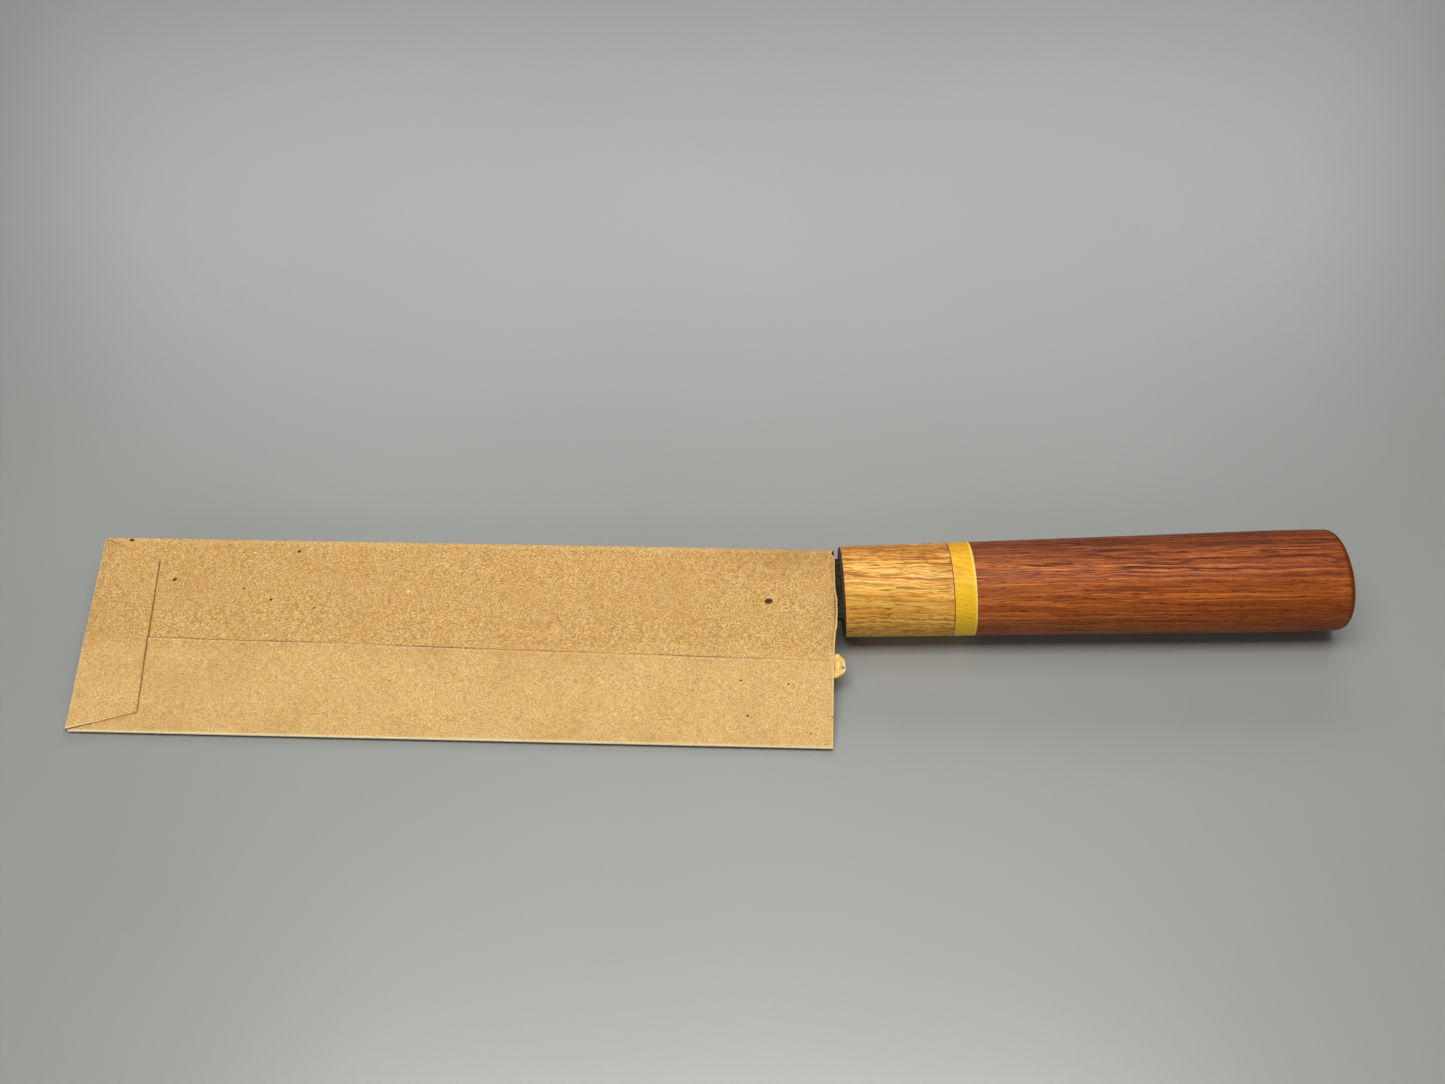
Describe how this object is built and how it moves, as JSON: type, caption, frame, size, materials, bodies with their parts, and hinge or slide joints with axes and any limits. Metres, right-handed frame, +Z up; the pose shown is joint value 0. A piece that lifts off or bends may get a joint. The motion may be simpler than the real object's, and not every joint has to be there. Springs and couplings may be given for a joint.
{
  "type": "sheathed vegetable knife",
  "caption": "Straight-edged kitchen knife with a round wooden handle, in a folded and glued kraft paper sheath that slides off.",
  "frame": {"origin": "on the table, under the middle of the whole object's box, as it lies at rest", "axes": "+X from the closed end of the sheath towards the butt of the handle, +Y towards the spine of the blade, +Z up"},
  "size_m": [0.3052, 0.0565, 0.0246],
  "materials": {
    "kraft_paper": "matte uncoated",
    "forged_steel": "black forge scale on the flats, ground bright at the edge",
    "ferrule_wood": "oiled satin",
    "spacer_wood": "oiled satin",
    "body_wood": "oiled satin",
    "dowel_wood": "raw",
    "dark_glue": "hardened glue",
    "pale_glue": "hardened glue, sanded flush",
    "resin": "cast resin",
    "amber_glue": "dried translucent glue"
  },
  "bodies": {
    "knife": {"blade": "forged_steel", "ferrule": "ferrule_wood", "front_glue_line": "dark_glue", "spacer": "spacer_wood", "rear_glue_line": "pale_glue", "handle_body": "body_wood", "core_dowel": "dowel_wood", "tang_resin": "resin"},
    "sheath": {"sleeve": "kraft_paper", "seam_glue": "amber_glue", "flap_glue": "amber_glue"}
  },
  "joints": [
    {"name": "sheath_slide", "type": "slide", "parent": "knife", "child": "sheath", "axis": [-0.999, 0.0446, 0], "range_m": [0, 0.18]}
  ]
}
